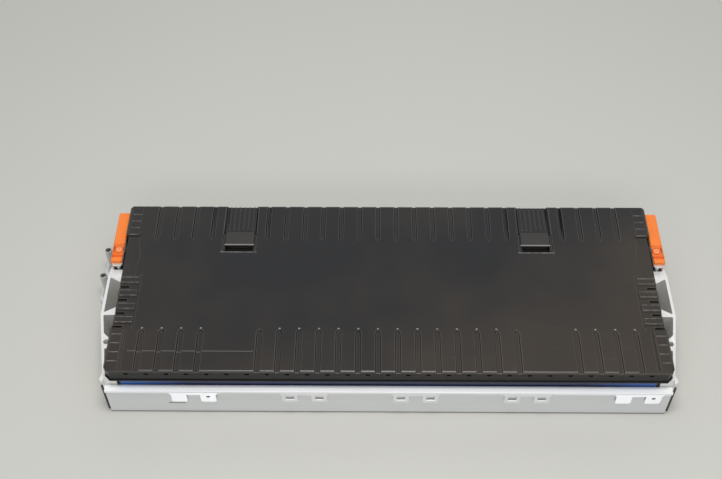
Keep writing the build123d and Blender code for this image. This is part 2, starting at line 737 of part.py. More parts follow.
def top_cover():
    """One-piece moulded lid: shell, flutes, bays, combs, clips and lip."""
    body = prism(cover_plan(0), SKIRT_BOTTOM, COVER_TOP)
    rim = body.edges().group_by(Axis.Z)[-1]
    body = chamfer(rim, RIM_CHAMFER)
    lip = prism(cover_plan(LIP_OUT), SKIRT_BOTTOM, SKIRT_BOTTOM + LIP_HEIGHT)
    cavity = prism(cover_plan(-COVER_SKIN), SKIRT_BOTTOM - 1, COVER_TOP - COVER_SKIN)
    jackets = groove_jackets()
    cuts = clip_windows()
    for i, x in enumerate(JOINT_X):
        if i not in MISSING:
            cuts.append(groove(x, FRONT_GROOVE_Y, COVER_FRONT_Y, GROOVE_WIDTH))
            cuts.append(groove(x, BACK_GROOVE_Y, COVER_BACK_Y, BACK_GROOVE_WIDTH))
    shallow, slots = comb_cuts()
    for shape in shallow + slots + corner_cuts() + [wavy_step()]:
        cuts.append(shape)
        cuts.append(left(shape))
    for direction in (-1, 1):
        jackets += end_jackets(direction)
        x = direction * BAY_CENTRE
        reach = BAY_HALF + COVER_SKIN
        jackets.append(block(x - reach, x + reach, BAY_FRONT - COVER_SKIN, COVER_BACK_Y - 1,
                             BAY_FLOOR - COVER_SKIN, COVER_TOP - 1))
        cuts += bay_cuts(x)
        low, high = sorted((direction * 398, direction * COVER_RUN_OUT))
        cuts.append(block(low, high, TONGUE_Y0 - 1, TONGUE_Y1 + 1, SKIRT_BOTTOM - 1,
                          TERMINAL_TOP + COLLECTOR_THICK + 0.5))
    cover = body + lip - cavity
    cover = cover + jackets
    cover = cover - cuts
    return cover + bay_ribs(BAY_CENTRE) + bay_ribs(-BAY_CENTRE)


FLAP_HALF = 22.4
FLAP_FRONT = 80.0
FLAP_BACK = 105.0


def connector_flap(x):
    """Loose lid over a sensing connector, seated on the bay floor."""
    flap = block(x - FLAP_HALF, x + FLAP_HALF, FLAP_FRONT, FLAP_BACK, BAY_FLOOR, BAY_FLOOR + 2)
    flap = chamfer(flap.edges().group_by(Axis.Z)[-1], 0.7)
    return flap


def sense_connector(x):
    """Header of the sensing circuit with its mouth towards the plug gap."""
    low = FLEX_TOP
    housing = block(x - 20, x + 20, 82, 103, low, BAY_FLOOR)
    mouth = block(x - 17.5, x + 17.5, 82, 97, low + 2, BAY_FLOOR - 1.8)
    pins = [block(x + i * 4 - 0.4, x + i * 4 + 0.4, 90, 97, 94.6, 95.4) for i in range(-3, 4)]
    return housing - mouth + pins


def thermal_pad():
    """Soft pad between cells and cold plate."""
    return block(-STACK_HALF, STACK_HALF, -ROW_OUTER, ROW_OUTER, PLATE_TOP, CELL_BOTTOM)


# ---- assembly -----------------------------------------------------------
outer_line = ROW_Y + TERMINAL_OFFSET
inner_line = ROW_Y - TERMINAL_OFFSET
pieces = {
    "cells_front_row": cell_row(-ROW_Y),
    "cells_back_row": cell_row(ROW_Y),
    "cell_spacers_front": spacer_row(-ROW_Y),
    "cell_spacers_back": spacer_row(ROW_Y),
    "centre_insulator": centre_insulator(),
    "side_film_front": side_film(-1),
    "side_film_back": side_film(1),
    "end_insulator_left": left(end_insulator()),
    "end_insulator_right": end_insulator(),
    "cell_busbars_front": busbar_row(-1),
    "cell_busbars_back": busbar_row(1),
    "busbar_carrier_front": busbar_carrier(-1),
    "busbar_carrier_back": busbar_carrier(1),
    "sensing_flex_front": sensing_flex(-1),
    "sensing_flex_back": sensing_flex(1),
    "temperature_sensors": temperature_sensors(),
    "collector_bar_left": left(collector_bar(outer_line)),
    "collector_bar_right": collector_bar(inner_line),
    "thermal_pad": thermal_pad(),
    "cooling_plate": cooling_plate(),
    "channel_sheet": plate_plan(0, CHANNEL_SHEET),
    "coolant_outlet_spigot": spigot(SPIGOT_Y[0]),
    "coolant_inlet_spigot": spigot(SPIGOT_Y[1]),
    "side_plate_front": side_plate(-1),
    "side_plate_back": side_plate(1),
    "tab_rail_front": tab_rail(),
    "end_plate_left": left(end_plate(True)),
    "end_plate_right": end_plate(False),
    "corner_screws": corner_screws(),
    "terminal_bar_left": left(terminal_bar()),
    "terminal_bar_right": terminal_bar(),
    "terminal_block_left": left(terminal_block()),
    "terminal_block_right": terminal_block(),
    "terminal_nuts": terminal_nuts(),
    "terminal_screws": terminal_screws(),
    "terminal_posts": terminal_posts(),
    "hv_cover_left": left(hv_cover()),
    "hv_cover_right": hv_cover(),
    "sense_connector_left": sense_connector(-BAY_CENTRE),
    "sense_connector_right": sense_connector(BAY_CENTRE),
    "connector_flap_left": connector_flap(-BAY_CENTRE),
    "connector_flap_right": connector_flap(BAY_CENTRE),
    "top_cover": top_cover(),
}

os.makedirs("parts", exist_ok=True)
for node, shape in pieces.items():
    export_step(shape, f"parts/{node}.step")
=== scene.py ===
from math import pi, radians, sin, tan

import bmesh
import bpy
from mathutils import Matrix, Vector
from mathutils.geometry import intersect_point_line


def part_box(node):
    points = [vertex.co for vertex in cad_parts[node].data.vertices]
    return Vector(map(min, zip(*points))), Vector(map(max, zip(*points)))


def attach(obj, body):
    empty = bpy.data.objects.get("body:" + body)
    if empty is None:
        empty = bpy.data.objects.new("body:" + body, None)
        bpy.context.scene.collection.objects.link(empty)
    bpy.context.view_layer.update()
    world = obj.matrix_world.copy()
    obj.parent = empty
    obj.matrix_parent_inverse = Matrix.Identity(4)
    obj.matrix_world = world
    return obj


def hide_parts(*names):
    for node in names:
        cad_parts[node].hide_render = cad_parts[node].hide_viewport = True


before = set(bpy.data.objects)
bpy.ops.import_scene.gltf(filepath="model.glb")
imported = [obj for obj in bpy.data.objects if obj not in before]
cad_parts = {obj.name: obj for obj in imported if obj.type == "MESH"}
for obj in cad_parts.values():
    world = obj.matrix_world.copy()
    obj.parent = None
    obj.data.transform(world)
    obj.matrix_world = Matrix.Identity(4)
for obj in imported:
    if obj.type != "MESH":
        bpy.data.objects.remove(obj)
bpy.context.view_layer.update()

# ---- cooling plate ----
# The module stands on an aluminium cold plate brazed to a thin channel sheet.
# Both are rolled sheet, milled to outline, and the ear at the left end carries
# the two hose spigots, whose tubes are turned and brazed in.
MM = 0.001
PLATE_TINT = (0.77, 0.77, 0.76)
PLATE_GRAIN = (9, 420, 420)
PLATE_ROUND = 0.4 * MM


class Signal:
    """The output of a shader node, which takes part in Python sums."""

    def __init__(self, finish, socket):
        self.finish = finish
        self.socket = socket

    def _sum(self, operation, first, second):
        inputs = {0: first, 1: second}
        return self.finish.node("ShaderNodeMath", {"operation": operation}, inputs, 0)

    def __add__(self, other):
        return self._sum("ADD", self, other)

    def __sub__(self, other):
        return self._sum("SUBTRACT", self, other)

    def __mul__(self, other):
        return self._sum("MULTIPLY", self, other)

    def __radd__(self, other):
        return self._sum("ADD", other, self)

    def __rsub__(self, other):
        return self._sum("SUBTRACT", other, self)

    def __rmul__(self, other):
        return self._sum("MULTIPLY", other, self)

    def __lt__(self, other):
        return self._sum("LESS_THAN", self, other)

    def __gt__(self, other):
        return self._sum("GREATER_THAN", self, other)

    def __abs__(self):
        return self._sum("ABSOLUTE", self, 0.0)


class Finish:
    """One material: its shader, and the node tree that varies it."""

    def __init__(self, name, **constants):
        self.material = bpy.data.materials.new(name)
        self.material.use_nodes = True
        self.tree = self.material.node_tree
        self.shader = self.tree.nodes["Principled BSDF"]
        for socket, value in constants.items():
            self.shader.inputs[socket.replace("_", " ")].default_value = value
        self.place = self.node("ShaderNodeTexCoord", {}, {}, "Object")

    def node(self, kind, settings, inputs, output):
        """Adds a node: its settings first, then the values or links of its sockets."""
        made = self.tree.nodes.new(kind)
        for setting, value in settings.items():
            if setting == "stops":
                self._set_stops(made.color_ramp, value)
            else:
                setattr(made, setting, value)
        for key, value in inputs.items():
            socket = made.inputs[key]
            if isinstance(value, Signal):
                self.tree.links.new(value.socket, socket)
            else:
                socket.default_value = value
        return Signal(self, made.outputs[output])

    def _set_stops(self, ramp, stops):
        """Gives a ramp its stops, each a place and a grey level."""
        while len(ramp.elements) < len(stops):
            ramp.elements.new(1.0)
        for element, (place, level) in zip(ramp.elements, stops):
            element.position = place
            element.color = (level, level, level, 1.0)

    def stretched(self, x, y, z):
        """The object's own coordinates, scaled by axis to draw a pattern out."""
        inputs = {"Vector": self.place, "Scale": (x, y, z)}
        return self.node("ShaderNodeMapping", {}, inputs, "Vector")

    def noise(self, where, scale, detail=3.0, roughness=0.5):
        """Cloudy noise from 0 to 1."""
        inputs = {"Vector": where, "Scale": scale, "Detail": detail, "Roughness": roughness}
        return self.node("ShaderNodeTexNoise", {}, inputs, "Fac")

    def axis(self, letter):
        """Where a point lies along one of the object's own axes."""
        return self.node("ShaderNodeSeparateXYZ", {}, {0: self.place}, letter)

    def off_grid(self, place, pitch):
        """How far a place is from the nearest multiple of a pitch."""
        inputs = {0: place, 1: pitch / 2}
        return self.node("ShaderNodeMath", {"operation": "PINGPONG"}, inputs, 0)

    def ramp(self, signal, *stops):
        """A signal passed through a grey ramp."""
        return self.node("ShaderNodeValToRGB", {"stops": stops}, {"Fac": signal}, "Color")

    def mix(self, mask, first, second):
        """A colour that turns from first to second as mask goes from 0 to 1."""
        ends = [end + (1.0,) if isinstance(end, tuple) else end for end in (first, second)]
        inputs = {0: mask, 6: ends[0], 7: ends[1]}
        return self.node("ShaderNodeMix", {"data_type": "RGBA"}, inputs, 2)

    def bump(self, height, depth, strength=1.0):
        """Relief of that depth in metres, for the Normal socket."""
        inputs = {"Height": height, "Distance": depth, "Strength": strength}
        return self.node("ShaderNodeBump", {}, inputs, "Normal")

    def feed(self, **links):
        """Links what varies to the shader's sockets."""
        for socket, signal in links.items():
            self.tree.links.new(signal.socket, self.shader.inputs[socket.replace("_", " ")])
        return self


def rolled_aluminium(name, tint, grain, base_roughness, metallic=0.8):
    """Mill-finish aluminium with drawing lines along grain, smudges and scuffs."""
    metal = Finish(name, Metallic=metallic)
    lines = metal.noise(metal.stretched(*grain), 1.0, 4.0, 0.6)
    smudge = metal.noise(metal.place, 11.0, 4.0, 0.55)
    scuff = metal.noise(metal.stretched(90, 35, 60), 1.0, 5.0, 0.7)
    worn = metal.ramp(scuff, (0.60, 0.0), (0.72, 1.0))
    dull = tuple(0.80 * level for level in tint)
    shade = metal.mix(lines * 0.7 + smudge * 0.3, dull, tint)
    roughness = base_roughness + 0.20 * smudge + 0.10 * lines + 0.10 * worn
    relief = metal.bump(lines + 0.3 * worn, 0.00006, 0.5)
    return metal.feed(Base_Color=shade, Roughness=roughness, Normal=relief)


def dress(finish, slot, *nodes):
    """Gives CAD nodes their finish."""
    for node in nodes:
        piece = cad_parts[node]
        piece.material_slots[0].material = finish.material


def added(piece, finish, slot, *nodes):
    """Puts a finished piece on the module in place of the nodes it stands for."""
    piece.data.materials.clear()
    piece.data.materials.append(finish.material)
    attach(piece, "root")
    if nodes:
        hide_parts(*nodes)
    return piece


def as_object(shape, name):
    """An object at the origin from a finished bmesh."""
    bmesh.ops.recalc_face_normals(shape, faces=shape.faces)
    mesh = bpy.data.meshes.new(name)
    shape.to_mesh(mesh)
    shape.free()
    piece = bpy.data.objects.new(name, mesh)
    bpy.context.scene.collection.objects.link(piece)
    return piece


# An edge sharper than SHARP is rounded, as wide as a share of the clear room
# beside it lets it be, and edges that run straight on get one width.
SHARP = radians(30)
STRAIGHT_ON = radians(125)
SHARE_OF_ROOM = 0.35
LEAST_ROUND = 0.12 * MM
LEAST_SLIDE = 0.02
WELD = 0.002 * MM
SAME_PLANE = radians(0.2)
NEARLY_FLAT = radians(0.5)
MANY_SIDES = 10


def is_sharp(edge):
    """Whether two faces meet at an edge that a maker would break."""
    return edge.is_manifold and edge.calc_face_angle() > SHARP


def mark_edges(shape, radius, above):
    """Weights each sharp edge by the room beside it, with one width along a smooth line."""
    weight = shape.edges.layers.float.new("bevel_weight_edge")
    for edge in shape.edges:
        edge.smooth = not is_sharp(edge)
    room = {edge: radius for edge in shape.edges
            if is_sharp(edge) and min(end.co.z for end in edge.verts) > above}
    joined = {edge: set() for edge in room}
    for face in shape.faces:
        for corner in face.loops:
            if corner.edge in room:
                room[corner.edge] = min(room[corner.edge],
                                        SHARE_OF_ROOM * clear_beside(face, corner))
                before = corner.link_loop_prev.edge
                if before in room and corner.calc_angle() > STRAIGHT_ON:
                    joined[corner.edge].add(before)
                    joined[before].add(corner.edge)
    while room:
        line, found = [], [next(iter(room))]
        while found:
            edge = found.pop()
            if edge in room and edge not in line:
                line.append(edge)
                found.extend(joined[edge])
        width = min(room[edge] for edge in line)
        for edge in line:
            if width > LEAST_ROUND:
                edge[weight] = width / radius
                edge.smooth = True
            del room[edge]


def clear_beside(face, side):
    """The shortest way across the face from one of its sides to a part not joined to it."""
    start, end = side.vert.co, side.link_loop_next.vert.co
    clear = 1.0
    for at, away in ((side, side.link_loop_prev), (side.link_loop_next, side.link_loop_next)):
        turn = at.calc_angle()
        if at.is_convex:
            slide = tan(turn / 2) if is_sharp(away.edge) else sin(turn)
            shorter = min(away.edge.calc_length(), side.edge.calc_length())
            clear = min(clear, max(slide, LEAST_SLIDE) * shorter)
    for corner in face.loops:
        near = corner in (side, side.link_loop_prev, side.link_loop_next,
                          side.link_loop_next.link_loop_next)
        if not near:
            along = intersect_point_line(corner.vert.co, start, end)[1]
            along = min(1.0, max(0.0, along))
            clear = min(clear, (corner.vert.co - start.lerp(end, along)).length)
    return clear


def softened(node, name, radius, steps=2, above=-1.0):
    """A copy of a solid whose triangles are merged and whose edges are rounded."""
    shell = bmesh.new()
    shell.from_mesh(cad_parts[node].data)
    bmesh.ops.remove_doubles(shell, verts=shell.verts, dist=WELD)
    level = [edge for edge in shell.edges
             if edge.is_manifold and edge.calc_face_angle() < SAME_PLANE]
    bmesh.ops.beautify_fill(shell, faces=shell.faces, edges=level, method="ANGLE")
    bmesh.ops.dissolve_limit(shell, angle_limit=NEARLY_FLAT, use_dissolve_boundaries=False,
                             verts=shell.verts, edges=shell.edges)
    broad = [face for face in shell.faces if len(face.verts) > MANY_SIDES]
    bmesh.ops.connect_verts_concave(shell, faces=broad)
    mark_edges(shell, radius, above)
    return rounded(as_object(shell, name), radius, steps)


def rounded(piece, radius, steps):
    """Rounds the weighted edges and keeps the flats level in the shading."""
    for face in piece.data.polygons:
        face.use_smooth = True
    bevel = piece.modifiers.new("rounded edges", "BEVEL")
    bevel.width = radius
    bevel.segments = steps
    bevel.limit_method = "WEIGHT"
    bevel.use_clamp_overlap = False
    flats = piece.modifiers.new("level flats", "WEIGHTED_NORMAL")
    flats.weight = 100
    flats.keep_sharp = True
    return piece


plate_metal = rolled_aluminium("cold_plate_metal", PLATE_TINT, PLATE_GRAIN, 0.30)
added(softened("cooling_plate", "cold_plate", PLATE_ROUND), plate_metal, "aluminium",
      "cooling_plate")
dress(plate_metal, "aluminium", "channel_sheet")

# ---- coolant spigots ----
# Two turned aluminium tubes stand in brazed feet on the ear of the cold plate.
# The hoses slip over their plain bored mouths, whose corners are broken.
SPIGOT_TINT = (0.60, 0.60, 0.59)
TUBE_RADIUS = 5.5 * MM
TUBE_BORE = 4.0 * MM
FOOT_HEIGHT = 2.5 * MM
FOOT_BREAK = 0.6 * MM
FILLET_OUT = 1.6 * MM
FILLET_RISE = 2.9 * MM
MOUTH_BREAK = 0.7 * MM
BORE_BREAK = 0.5 * MM
TURNED_CORNER = radians(35)


def lathe(points, centre, name, steps=48):
    """A turned piece: a profile of radius and height spun about an upright axis."""
    profile = bmesh.new()
    chain = [profile.verts.new((radius, 0.0, height)) for radius, height in points]
    edges = [profile.edges.new(pair) for pair in zip(chain, chain[1:])]
    bmesh.ops.spin(profile, geom=chain + edges, axis=(0, 0, 1), cent=(0, 0, 0),
                   angle=2 * pi, steps=steps, use_merge=True)
    bmesh.ops.remove_doubles(profile, verts=profile.verts, dist=WELD)
    bmesh.ops.translate(profile, verts=profile.verts, vec=centre)
    piece = as_object(profile, name)
    for face in piece.data.polygons:
        face.use_smooth = True
    piece.data.set_sharp_from_angle(angle=TURNED_CORNER)
    return piece


def hose_tube(node):
    """Tube with a flared foot and a plain bored mouth."""
    low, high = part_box(node)
    middle = (low + high) / 2
    foot = (high.x - low.x) / 2
    step = low.z + FOOT_HEIGHT
    points = [(TUBE_BORE, low.z), (foot, low.z), (foot, step - FOOT_BREAK),
              (foot - FOOT_BREAK, step), (TUBE_RADIUS + FILLET_OUT, step),
              (TUBE_RADIUS + FILLET_OUT / 4, step + 1.1 * MM),
              (TUBE_RADIUS, step + FILLET_RISE), (TUBE_RADIUS, high.z - 0.9 * MM),
              (TUBE_RADIUS - 0.3 * MM, high.z - 0.2 * MM), (TUBE_RADIUS - MOUTH_BREAK, high.z),
              (TUBE_BORE + BORE_BREAK, high.z), (TUBE_BORE, high.z - BORE_BREAK),
              (TUBE_BORE, low.z)]
    return lathe(points, (middle.x, middle.y, 0.0), node.replace("coolant", "hose"))


spigot_metal = rolled_aluminium("spigot_metal", SPIGOT_TINT, (40, 40, 700), 0.34)
for spigot in ("coolant_outlet_spigot", "coolant_inlet_spigot"):
    added(hose_tube(spigot), spigot_metal, "aluminium", spigot)

# ---- cells and pads ----
# Two rows of deep-drawn aluminium cans stand on a soft gap pad, with fibrous
# pads pressed between them and a thin sheet between the rows.
CAN_TINT = (0.74, 0.75, 0.77)

can_metal = rolled_aluminium("cell_can_metal", CAN_TINT, (200, 200, 12), 0.32)
dress(can_metal, "cell_can", "cells_front_row", "cells_back_row")


def soft_pad(name, colour, fleck, scale, roughness):
    """Matt pad with a fibrous fleck."""
    pad = Finish(name, Roughness=roughness)
    fibre = pad.noise(pad.stretched(1.0, 1.0, 3.0), scale, 5.0, 0.65)
    return pad.feed(Base_Color=pad.mix(fibre, colour, fleck),
                    Normal=pad.bump(fibre, 0.0003, 0.6))


spacer_pad = soft_pad("aerogel_pad", (0.62, 0.62, 0.60), (0.80, 0.79, 0.76), 600.0, 0.9)
gap_pad = soft_pad("gap_pad", (0.35, 0.36, 0.40), (0.45, 0.46, 0.50), 900.0, 0.7)
insulator = soft_pad("insulator_plastic", (0.045, 0.045, 0.047), (0.07, 0.07, 0.072),
                     800.0, 0.45)
dress(spacer_pad, "aerogel_pad", "cell_spacers_front", "cell_spacers_back", "centre_insulator")
dress(gap_pad, "gap_pad", "thermal_pad")
dress(insulator, "insulator_plastic", "end_insulator_left", "end_insulator_right")

# ---- side film ----
# The outer face of each row is wrapped in glossy blue polyester film, whose
# upper margin shows between the cover's skirt and the side plate. Its blue is
# painted lighter towards both ends: painted light.
FILM_DARK = (0.005, 0.010, 0.045)
FILM_DEEP = (0.008, 0.018, 0.09)
FILM_LIT_BLUE = (0.025, 0.11, 0.38)

blue_film = Finish("blue_film", Roughness=0.22, Coat_Weight=0.3)
wrinkle = blue_film.noise(blue_film.stretched(30, 30, 260), 1.0, 3.0)
# Painted light: the film's blue turns lighter towards both ends.
painted_light_ends = blue_film.ramp(abs(blue_film.axis("X")) * 2.5, (0.72, 0.0), (0.97, 1.0))
film_shade = blue_film.mix(painted_light_ends, blue_film.mix(wrinkle, FILM_DARK, FILM_DEEP), FILM_LIT_BLUE)
blue_film.feed(Base_Color=film_shade, Normal=blue_film.bump(wrinkle, 0.0004, 0.5))
dress(blue_film, "blue_film", "side_film_front", "side_film_back")

# ---- bars, trays and sensing circuit ----
# Aluminium bars are welded across the cell terminals in the troughs of a black
# tray, and a thin black flexible circuit along it reads each cell's voltage.
BAR_TINT = (0.80, 0.80, 0.81)

bar_metal = rolled_aluminium("busbar_metal", BAR_TINT, (60, 500, 500), 0.28)
dress(bar_metal, "busbar_metal", "cell_busbars_front", "cell_busbars_back",
      "collector_bar_left", "collector_bar_right")
dress(insulator, "insulator_plastic", "busbar_carrier_front", "busbar_carrier_back",
      "temperature_sensors")
flex_film = soft_pad("flex_film", (0.012, 0.011, 0.010), (0.020, 0.018, 0.016), 300.0, 0.3)
dress(flex_film, "flex_film", "sensing_flex_front", "sensing_flex_back")

# ---- side plates ----
# Hollow aluminium extrusions run along both sides and carry the end plates.
# Their faces keep the drawing lines of the die. The dark line at the foot and
# the one under the first tab are colour that stands for shadow, not shapes.
SIDE_TINT = (0.86, 0.86, 0.87)
SIDE_GRAIN = (5, 330, 330)
SIDE_ROUND = 0.5 * MM
LINE_DULL = (0.70, 0.71, 0.73)
LINE_CLEAN = (0.84, 0.86, 0.88)
SHADOW_TONE = (0.16, 0.16, 0.17)
FOOT_LINE = 3.0 * MM
TAB_LINE_X = -308.6 * MM
TAB_LINE_Z = 25.8 * MM
TAB_LINE_HALF_LENGTH = 12.5 * MM
TAB_LINE_HALF_HEIGHT = 1.5 * MM


def band(place, middle, reach):
    """1 within reach of a middle place, and 0 beyond it."""
    return abs(place - middle) < reach


side_metal = rolled_aluminium("side_plate_metal", SIDE_TINT, SIDE_GRAIN, 0.26, 0.7)
side_z = side_metal.axis("Z")
die_lines = side_metal.noise(side_metal.stretched(*SIDE_GRAIN), 1.0, 4.0, 0.6)
clean = side_metal.mix(die_lines, LINE_DULL, LINE_CLEAN)
tab_line = (band(side_metal.axis("X"), TAB_LINE_X, TAB_LINE_HALF_LENGTH)
            * band(side_z, TAB_LINE_Z, TAB_LINE_HALF_HEIGHT) * (side_metal.axis("Y") < 0.0))
lined = side_metal.mix((side_z < FOOT_LINE) * 0.8 + tab_line * 0.75, clean, SHADOW_TONE)
side_metal.feed(Base_Color=lined)
for plate, name in (("side_plate_front", "front_extrusion"),
                    ("side_plate_back", "back_extrusion")):
    added(softened(plate, name, SIDE_ROUND), side_metal, "aluminium", plate)

# ---- end plates ----
# Each end plate is a truss-shaped extrusion stood on end, so its top is a sawn
# face and its pockets show the upright drawing lines of the die. Zinc-plated
# screws hold its feet from below.
END_TINT = (0.90, 0.89, 0.86)
ZINC_TINT = (0.66, 0.66, 0.67)
END_ROUND = 0.35 * MM

end_metal = rolled_aluminium("end_plate_metal", END_TINT, (330, 330, 6), 0.40, 0.55)
for plate, name in (("end_plate_left", "left_truss_plate"),
                    ("end_plate_right", "right_truss_plate")):
    added(softened(plate, name, END_ROUND), end_metal, "aluminium", plate)
zinc = rolled_aluminium("zinc_steel", ZINC_TINT, (200, 200, 200), 0.34)
dress(zinc, "zinc_steel", "corner_screws")

# ---- dark end strips ----
# A dark upright strip stands beyond each end of the front side plate, against
# the end plate's foot. It is taken to be a bead of sealant.
END_STRIP_LOW = Vector((410.2, -157.6, 6.5)) * MM
END_STRIP_HIGH = Vector((413.4, -154.6, 69.5)) * MM
END_STRIP_ROUND = 0.6 * MM
END_STRIP_DARK = (0.020, 0.019, 0.018)
END_STRIP_PALE = (0.055, 0.052, 0.048)

end_strip_finish = Finish("end_strip_finish", Roughness=0.6)
lumps = end_strip_finish.noise(end_strip_finish.place, 260.0, 4.0, 0.6)
end_strip_finish.feed(Base_Color=end_strip_finish.mix(lumps, END_STRIP_DARK, END_STRIP_PALE),
             Normal=end_strip_finish.bump(lumps, 0.0008, 0.6))


def strip(name, low, high, round_off, steps):
    """A straight bead of material between two corners, with its edges rounded."""
    bead = bmesh.new()
    bmesh.ops.create_cube(bead, size=1.0)
    bmesh.ops.scale(bead, vec=high - low, verts=bead.verts)
    bmesh.ops.translate(bead, vec=(low + high) / 2, verts=bead.verts)
    bmesh.ops.bevel(bead, geom=bead.edges[:], affect="EDGES", offset=round_off,
                    segments=steps, profile=0.5, material=-1)
    return as_object(bead, name)


left_low = Vector((-END_STRIP_HIGH.x, END_STRIP_LOW.y, END_STRIP_LOW.z))
left_high = Vector((-END_STRIP_LOW.x, END_STRIP_HIGH.y, END_STRIP_HIGH.z))
added(strip("left_end_strip", left_low, left_high, END_STRIP_ROUND, 2), end_strip_finish, "insulator_plastic")
added(strip("right_end_strip", END_STRIP_LOW, END_STRIP_HIGH, END_STRIP_ROUND, 2), end_strip_finish, "insulator_plastic")

# ---- power terminals ----
# A moulded block on each end plate holds a nut and a plated bar, which a cap
# screw clamps and a plain steel post props under its tip.
PLATING_TINT = (0.86, 0.85, 0.83)
POWER_BAR_ROUND = 0.3 * MM

plating = rolled_aluminium("plated_bar", PLATING_TINT, (300, 40, 300), 0.22)
for bar, name in (("terminal_bar_left", "left_power_bar"),
                  ("terminal_bar_right", "right_power_bar")):
    added(softened(bar, name, POWER_BAR_ROUND), plating, "plated_bar", bar)
dress(insulator, "insulator_plastic", "terminal_block_left", "terminal_block_right")
dress(zinc, "zinc_steel", "terminal_nuts", "terminal_screws", "terminal_posts")

# ---- touch covers ----
# An orange moulded shell clips over each power bar, with a round port for the
# screw in a sunken seat and a cross band where its lip folds down. The seat, the
# band and a short mark on each side of the port are painted darker: painted shade.
ORANGE_DEEP = (0.80, 0.165, 0.012)
ORANGE_BRIGHT = (0.92, 0.225, 0.022)
ORANGE_SEAT_SHADE = (0.66, 0.115, 0.010)
ORANGE_FOLD_SHADE = (0.72, 0.10, 0.004)
ORANGE_PORT_SHADE = (0.32, 0.035, 0.004)
TOUCH_ROUND = 0.4 * MM
PORT_X = 417.6 * MM
PORT_Y = 75.0 * MM
SEAT_HALF = 10.5 * MM
FOLD_Y = 61.6 * MM
FOLD_HALF = 2.6 * MM
PORT_SHADE_OUT = 7.2 * MM
PORT_SHADE_Y = 77.0 * MM

orange = Finish("orange_plastic")
mottle = orange.noise(orange.place, 60.0, 3.0)
grain = orange.noise(orange.place, 1500.0, 2.0)
orange_y = orange.axis("Y")
beside_port = abs(abs(orange.axis("X")) - PORT_X)
in_seat = band(orange_y, PORT_Y, SEAT_HALF)
# Painted shade: darker seat, darker band along the fold, and a short dark mark each side of the
# port.
port_shade_marks = in_seat * band(beside_port, PORT_SHADE_OUT, 0.9 * MM) * band(orange_y, PORT_SHADE_Y, 5 * MM)
orange_shade = orange.mix(mottle, ORANGE_DEEP, ORANGE_BRIGHT)
orange_shade = orange.mix(in_seat * 0.5, orange_shade, ORANGE_SEAT_SHADE)
orange_shade = orange.mix(band(orange_y, FOLD_Y, FOLD_HALF) * 0.85, orange_shade, ORANGE_FOLD_SHADE)
orange_shade = orange.mix(port_shade_marks * 0.85, orange_shade, ORANGE_PORT_SHADE)
orange.feed(Base_Color=orange_shade, Roughness=0.34 + 0.14 * mottle,
            Normal=orange.bump(grain, 0.00004, 0.5))
for shell, name in (("hv_cover_left", "left_touch_cover"),
                    ("hv_cover_right", "right_touch_cover")):
    added(softened(shell, name, TOUCH_ROUND, 3), orange, "orange_plastic", shell)

# ---- port caps ----
# The round form in each port is taken to be a turned cap of orange plastic over
# the clamp screw. Its raised ring is painted paler: a painted highlight.
CAP_SEAT = 93.75 * MM
CAP_RIM = 94.7 * MM
CAP_DEEP = (0.78, 0.17, 0.02)
CAP_BRIGHT = (0.88, 0.24, 0.04)
CAP_RING_HIGHLIGHT = (0.95, 0.42, 0.24)
RING_RADIUS = 3.0 * MM


def port_cap(side, name):
    """Turned push-in cap with a raised ring."""
    sunk = CAP_RIM - 0.6 * MM
    step = CAP_RIM - 0.5 * MM
    points = [(0.0, sunk), (1.9 * MM, sunk), (2.3 * MM, CAP_RIM), (3.6 * MM, CAP_RIM),
              (4.0 * MM, step), (4.9 * MM, step), (5.1 * MM, CAP_RIM - 0.7 * MM),
              (5.1 * MM, CAP_SEAT), (0.0, CAP_SEAT)]
    return lathe(points, (side * PORT_X, PORT_Y, 0.0), name, 32)


cap_orange = Finish("cap_plastic")
cap_mottle = cap_orange.noise(cap_orange.place, 300.0, 3.0)
either_side = cap_orange.node("ShaderNodeVectorMath", {"operation": "ABSOLUTE"},
                              {0: cap_orange.place}, 0)
from_centre = cap_orange.node("ShaderNodeVectorMath", {"operation": "DISTANCE"},
                              {0: either_side, 1: (PORT_X, PORT_Y, CAP_RIM)}, 1)
cap_shade = cap_orange.mix(cap_mottle, CAP_DEEP, CAP_BRIGHT)
# Painted highlight: the raised ring is paler than the rest of the cap.
cap_shade = cap_orange.mix(band(from_centre, RING_RADIUS, 0.8 * MM) * 0.8, cap_shade, CAP_RING_HIGHLIGHT)
cap_orange.feed(Base_Color=cap_shade, Roughness=0.32 + 0.14 * cap_mottle)
added(port_cap(-1, "left_port_cap"), cap_orange, "orange_plastic")
added(port_cap(1, "right_port_cap"), cap_orange, "orange_plastic")

# ---- sensing connectors ----
# A black moulded header of the sensing circuit sits in each bay of the cover,
# with its mouth towards the gap that lets the plug in.
dress(insulator, "insulator_plastic", "sense_connector_left", "sense_connector_right")

# ---- moulded cover ----
# One injection moulding of black flame-retardant plastic closes the module.
# It is fluted for stiffness along both sides, latched at each cell and combed
# at the ends. Pale lines on its ridges, bay walls and flute tips are painted
# highlights, its rounded edges are painted paler as highlight, and its upright
# skirt is painted darker as shade.
BLACK_DARK = (0.0080, 0.0080, 0.0086)
BLACK_PALE = (0.036, 0.0270, 0.0190)
EDGE_DARK = (0.030, 0.028, 0.026)
EDGE_PALE = (0.050, 0.042, 0.034)
SKIRT_SHADE_BLACK = (0.0050, 0.0050, 0.0075)
DUST = (0.20, 0.19, 0.17)
SCORED = (0.30, 0.28, 0.26)
HIGHLIGHT_PALE = (0.34, 0.32, 0.30)
COVER_ROUND = 1.1 * MM
ROUNDED_ABOVE = 99.2 * MM
SKIRT_TOP = 99.4 * MM
RIDGE_FLOOR = 101.0 * MM

SCORE_Y = -119.5 * MM
SCORE_HALF = 0.35 * MM
SCORE_FROM = -375.0 * MM
SCORE_TO = -194.0 * MM

